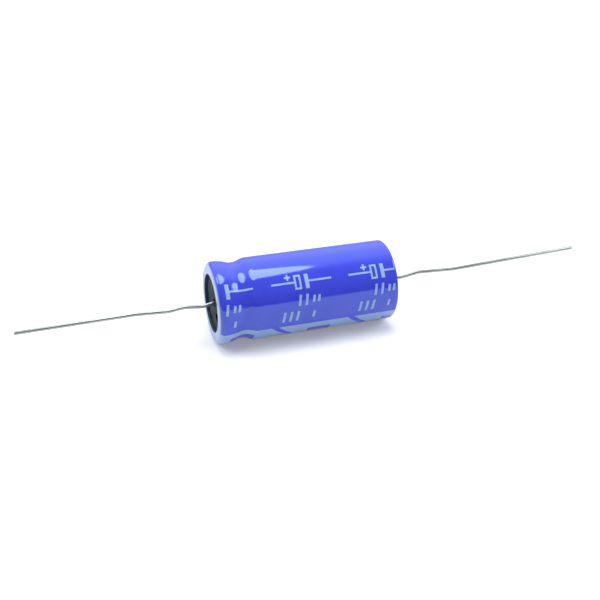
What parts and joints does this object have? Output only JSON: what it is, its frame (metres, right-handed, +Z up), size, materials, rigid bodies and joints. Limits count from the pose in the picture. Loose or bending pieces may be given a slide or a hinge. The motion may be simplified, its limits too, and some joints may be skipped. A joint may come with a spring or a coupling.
{
  "type": "electrolytic capacitor",
  "caption": "Axial aluminium electrolytic capacitor: a blue sleeved can with a rolled groove, a recessed rubber seal and a tinned wire lead at each end.",
  "frame": {"origin": "on the axis of the can, half way along the sleeved body", "axes": "+X along the axis, from the seal and the positive lead to the closed end and the negative lead; +Z up as the capacitor lies on its side; -Y faces the camera"},
  "size_m": [0.1297, 0.018, 0.018],
  "materials": {
    "sleeve": "glossy shrink tube",
    "print": "thin screen print",
    "can": "drawn, satin",
    "seal_rubber": "smooth moulded rubber",
    "seal_plate": "paper laminate",
    "inner_aluminium": "bright",
    "lead_wire": "tinned",
    "winding": "soaked paper and etched foil",
    "winding_tape": "thin tape"
  },
  "bodies": {
    "root": {"sleeve": "sleeve", "polarity_stripe": "print", "print_marks": "print", "can": "can", "seal_rubber": "seal_rubber", "seal_plate": "seal_plate", "positive_terminal": "inner_aluminium", "terminal_washer": "inner_aluminium", "positive_lead": "lead_wire", "negative_lead": "lead_wire", "winding": "winding", "winding_tape": "winding_tape", "anode_tab": "inner_aluminium", "cathode_tab": "inner_aluminium"}
  },
  "joints": []
}
